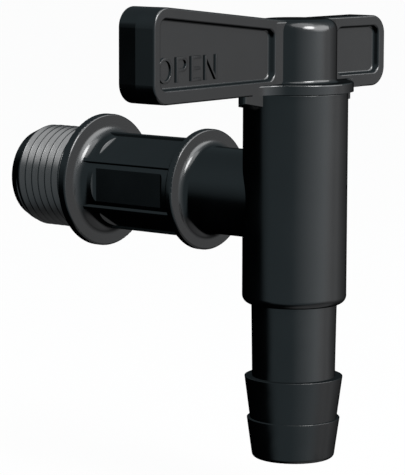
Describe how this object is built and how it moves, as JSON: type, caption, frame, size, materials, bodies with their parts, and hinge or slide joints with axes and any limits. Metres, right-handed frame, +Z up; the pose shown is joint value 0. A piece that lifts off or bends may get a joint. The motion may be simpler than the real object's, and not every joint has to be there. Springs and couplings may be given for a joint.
{
  "type": "water butt tap",
  "caption": "Angled moulded water butt tap with threaded flanged inlet, hexagonal grip, barbed hose tail and a winged lever that turns a hollow plug a quarter turn.",
  "frame": {"origin": "on the inlet's axis, at the flange face that seals against the water butt's wall", "axes": "+Z up along the barrel, +X from the water butt's wall towards the barrel, the thread points to -X and the lever's long wing to -Y"},
  "size_m": [0.0784, 0.0719, 0.0895],
  "materials": {
    "body_plastic": "satin black moulded polypropylene",
    "lever_plastic": "satin black moulded polypropylene",
    "seal_rubber": "matt black nitrile rubber"
  },
  "bodies": {
    "body": {"tap_body": "body_plastic"},
    "lever": {"lever_handle": "lever_plastic", "upper_ring": "seal_rubber", "lower_ring": "seal_rubber"}
  },
  "joints": [
    {"name": "lever_turn", "type": "hinge", "parent": "body", "child": "lever", "pos_m": [0.0502, 0, 0], "axis": [0, 0, 1], "range_deg": [0, 90]}
  ]
}
